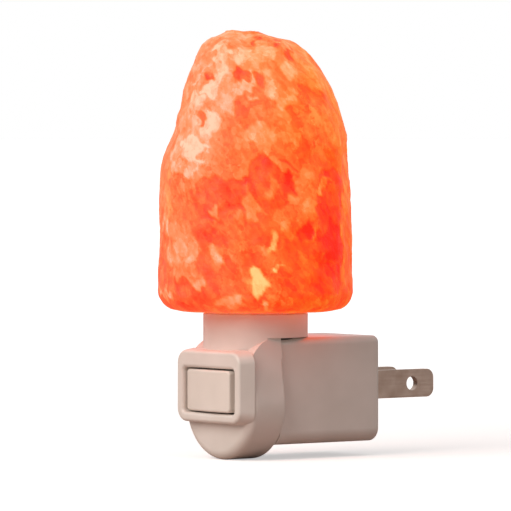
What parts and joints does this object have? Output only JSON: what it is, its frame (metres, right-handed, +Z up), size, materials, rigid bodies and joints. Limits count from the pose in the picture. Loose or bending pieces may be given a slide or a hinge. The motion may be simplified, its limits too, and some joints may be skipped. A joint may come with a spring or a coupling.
{
  "type": "salt crystal night light",
  "caption": "Plug-in night light: a hewn salt crystal over a screw-in bulb, on a moulded plug body with a front rocker switch.",
  "frame": {"origin": "centre of the plug's flat rear face, midway between the two blades", "axes": "+Y out of the plug face into the wall outlet, +X to the right as seen from the front, +Z up along the neck and the crystal"},
  "size_m": [0.0443, 0.068, 0.0958],
  "materials": {
    "housing_plastic": "satin moulded ivory white",
    "rocker_plastic": "satin moulded ivory white",
    "blade_brass": "nickel-plated brass, stamped",
    "terminal_brass": "bare stamped brass",
    "insulator_plastic": "brown phenolic",
    "screw_steel": "zinc plated",
    "contact_silver": "silver rivet",
    "lamp_glass": "clear",
    "cap_metal": "rolled",
    "cap_insulator": "black vitrite",
    "solder": "soldered",
    "tungsten": "drawn wire",
    "silicone": "translucent silicone",
    "salt": "hand-hewn rock salt, lit from inside",
    "wire_black": "PVC insulation",
    "wire_white": "PVC insulation"
  },
  "bodies": {
    "housing": {"front_housing": "housing_plastic", "rear_housing": "housing_plastic", "plug_blade_hot": "blade_brass", "plug_blade_neutral": "blade_brass", "fulcrum_terminal": "terminal_brass", "fixed_terminal": "terminal_brass", "shell_terminal": "terminal_brass", "centre_contact": "terminal_brass", "socket_shell": "terminal_brass", "blade_retainer": "insulator_plastic", "switch_frame": "insulator_plastic", "socket_holder": "insulator_plastic", "housing_screws": "screw_steel", "retainer_screws": "screw_steel", "fixed_contact": "contact_silver", "crystal_grip": "silicone", "wire_line": "wire_black", "wire_switched": "wire_black", "wire_neutral": "wire_white"},
    "rocker": {"rocker_button": "rocker_plastic", "rocker_pins": "screw_steel", "rocker_plunger": "insulator_plastic", "rocker_spring": "screw_steel"},
    "lever": {"contact_lever": "terminal_brass", "moving_contact": "contact_silver"},
    "bulb_foot": {"bulb_tip": "solder"},
    "bulb": {"bulb_insulator": "cap_insulator", "bulb_cap": "cap_metal", "bulb_glass": "lamp_glass", "bulb_stem": "lamp_glass", "bulb_leads": "cap_metal", "filament_supports": "tungsten", "filament": "tungsten"},
    "crystal": {"salt_crystal": "salt"}
  },
  "joints": [
    {"name": "rocker_tilt", "type": "hinge", "parent": "housing", "child": "rocker", "pos_m": [0, -0.0351, -0.00035], "axis": [0, 0, 1], "range_deg": [0, 9]},
    {"name": "lever_tilt", "type": "hinge", "parent": "housing", "child": "lever", "pos_m": [0, -0.0292, -0.00035], "axis": [0, 0, 1], "range_deg": [-11, 0]},
    {"name": "bulb_rise", "type": "slide", "parent": "housing", "child": "bulb_foot", "axis": [0, 0, 1], "range_m": [0, 0.01016]},
    {"name": "bulb_turn", "type": "hinge", "parent": "bulb_foot", "child": "bulb", "pos_m": [0, -0.0276, 0.0077], "axis": [0, 0, 1], "range_deg": [0, 1440]},
    {"name": "crystal_lift", "type": "slide", "parent": "housing", "child": "crystal", "axis": [0, 0, 1], "range_m": [0, 0.05]}
  ],
  "couplings": [
    {"joint": "lever_tilt", "follows": "rocker_tilt", "ratio": -1.2222},
    {"joint": "bulb_turn", "follows": "bulb_rise", "rad_per_m": 2473.7}
  ]
}
